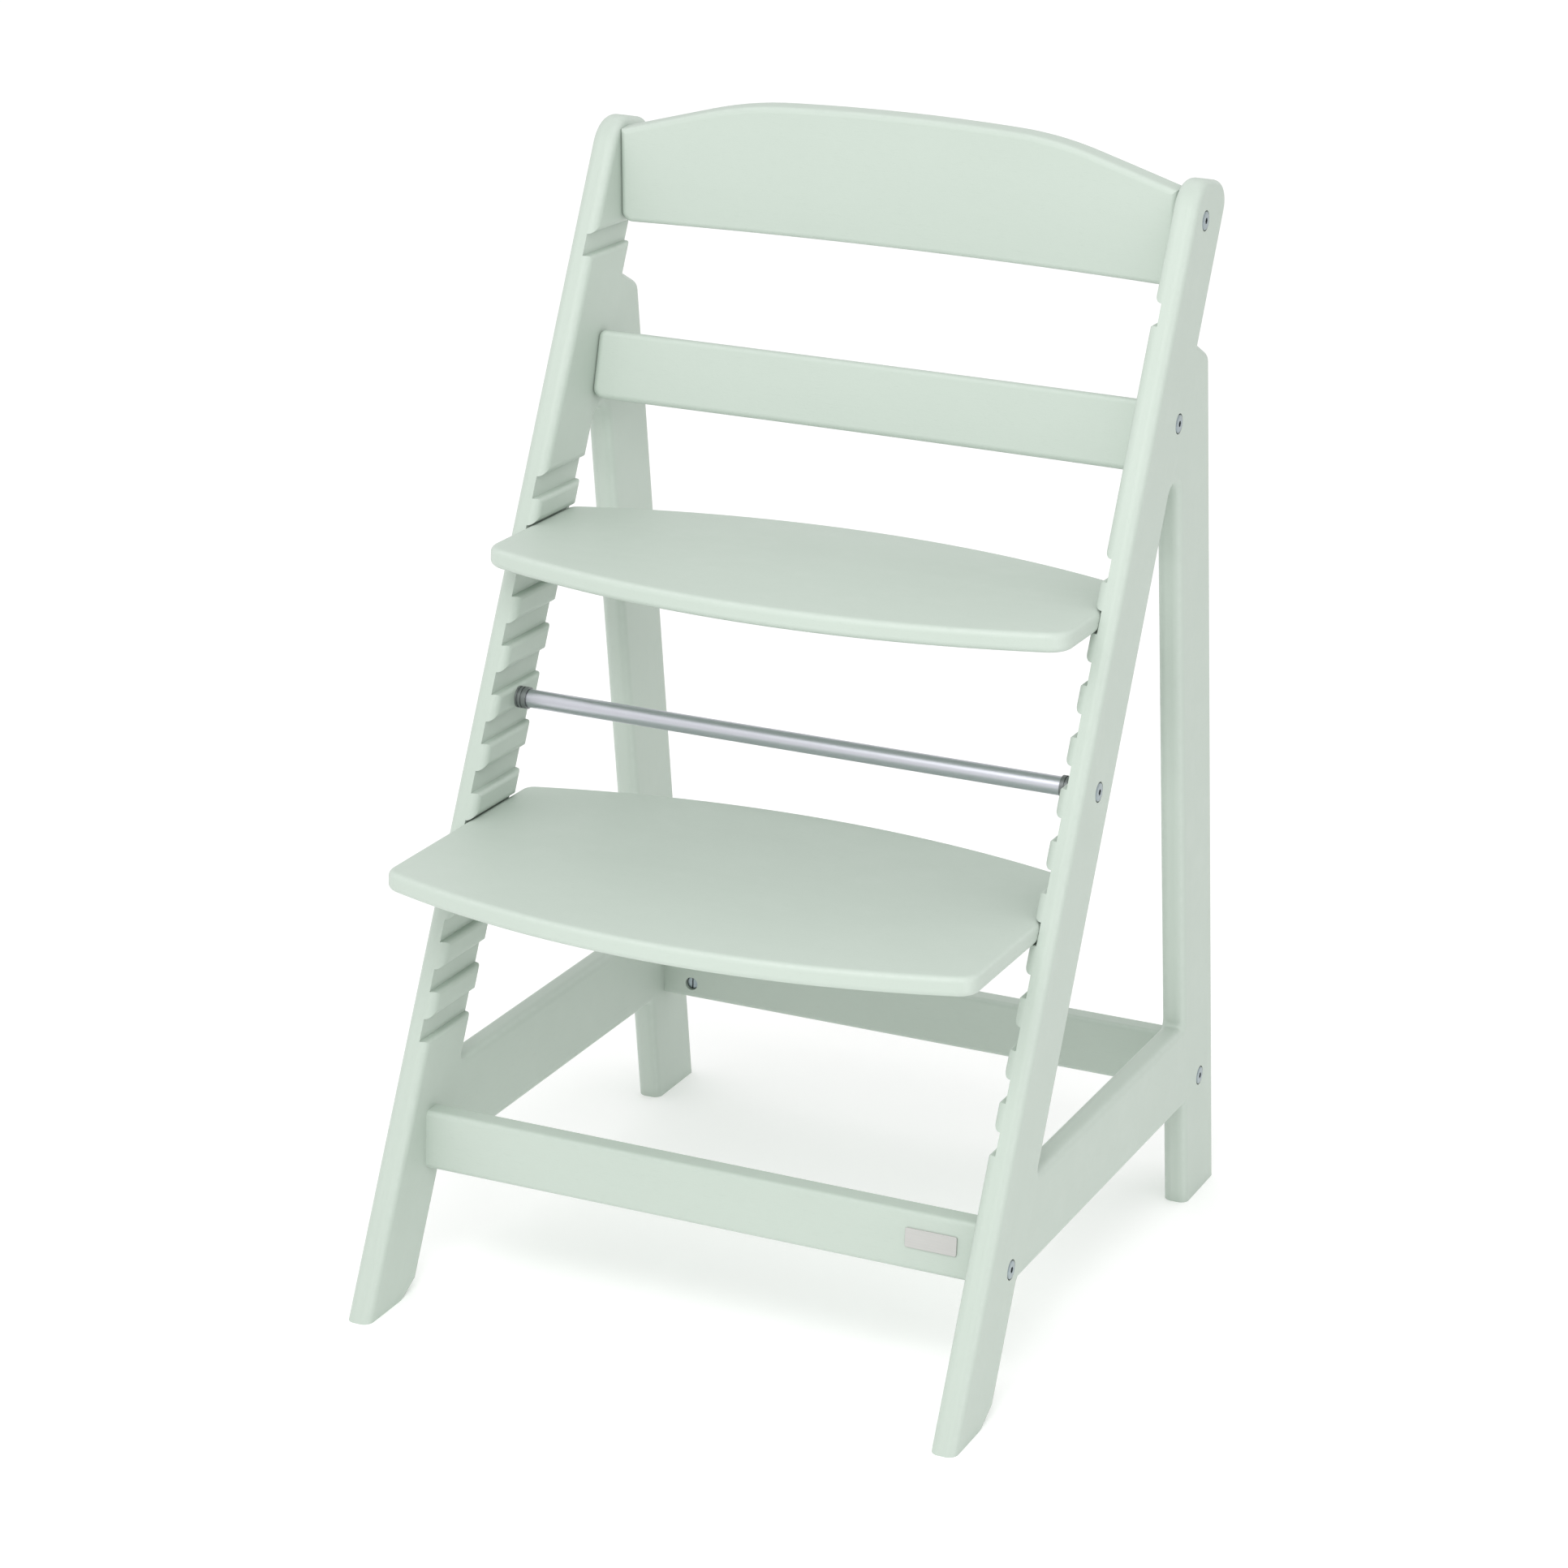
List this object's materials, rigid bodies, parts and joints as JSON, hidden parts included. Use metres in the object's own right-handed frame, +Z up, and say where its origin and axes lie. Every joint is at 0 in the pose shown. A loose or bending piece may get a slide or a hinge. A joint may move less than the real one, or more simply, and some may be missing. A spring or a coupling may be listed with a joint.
{
  "type": "baby high chair",
  "caption": "Wooden stair high chair that grows with a child: leaning grooved rails hold a seat plate and a foot plate at any height.",
  "frame": {"origin": "middle of the chair's footprint box, on the floor", "axes": "+X right as seen from the front (the sitting child's left), -Y the front, where the child looks, +Z up"},
  "size_m": [0.451, 0.552, 0.8054],
  "materials": {
    "painted_wood": "matte sage green paint on close-grained hardwood",
    "beech": "bare fluted dowel",
    "zinc_steel": "zinc-plated, satin",
    "bright_steel": "drawn tube, nickel bright",
    "dark_collar": "dark ringed sleeve",
    "name_plate": "blank satin plate"
  },
  "bodies": {
    "frame": {"left_rail": "painted_wood", "right_rail": "painted_wood", "left_rear_leg": "painted_wood", "right_rear_leg": "painted_wood", "left_side_board": "painted_wood", "right_side_board": "painted_wood", "front_crossbar": "painted_wood", "rear_crossbar": "painted_wood", "middle_back_slat": "painted_wood", "top_back_slat": "painted_wood", "tie_rod": "bright_steel", "tie_rod_inserts": "zinc_steel", "tie_rod_collars": "dark_collar", "badge": "name_plate", "top_slat_bolts": "zinc_steel", "middle_slat_bolts": "zinc_steel", "front_crossbar_bolts": "zinc_steel", "rear_crossbar_bolts": "zinc_steel", "tie_rod_bolts": "zinc_steel", "top_slat_barrel_nuts": "zinc_steel", "middle_slat_barrel_nuts": "zinc_steel", "front_crossbar_barrel_nuts": "zinc_steel", "rear_crossbar_barrel_nuts": "zinc_steel", "top_slat_dowels": "beech", "middle_slat_dowels": "beech", "front_crossbar_dowels": "beech", "rear_crossbar_dowels": "beech", "left_frame_dowels": "beech", "right_frame_dowels": "beech"},
    "seat": {"seat_plate": "painted_wood"},
    "foot_rest": {"foot_plate": "painted_wood"}
  },
  "joints": [
    {"name": "seat_slide", "type": "slide", "parent": "frame", "child": "seat", "axis": [0, -1, 0], "range_m": [-0.03, 0.03]},
    {"name": "foot_slide", "type": "slide", "parent": "frame", "child": "foot_rest", "axis": [0, -1, 0], "range_m": [-0.03, 0.05]}
  ]
}
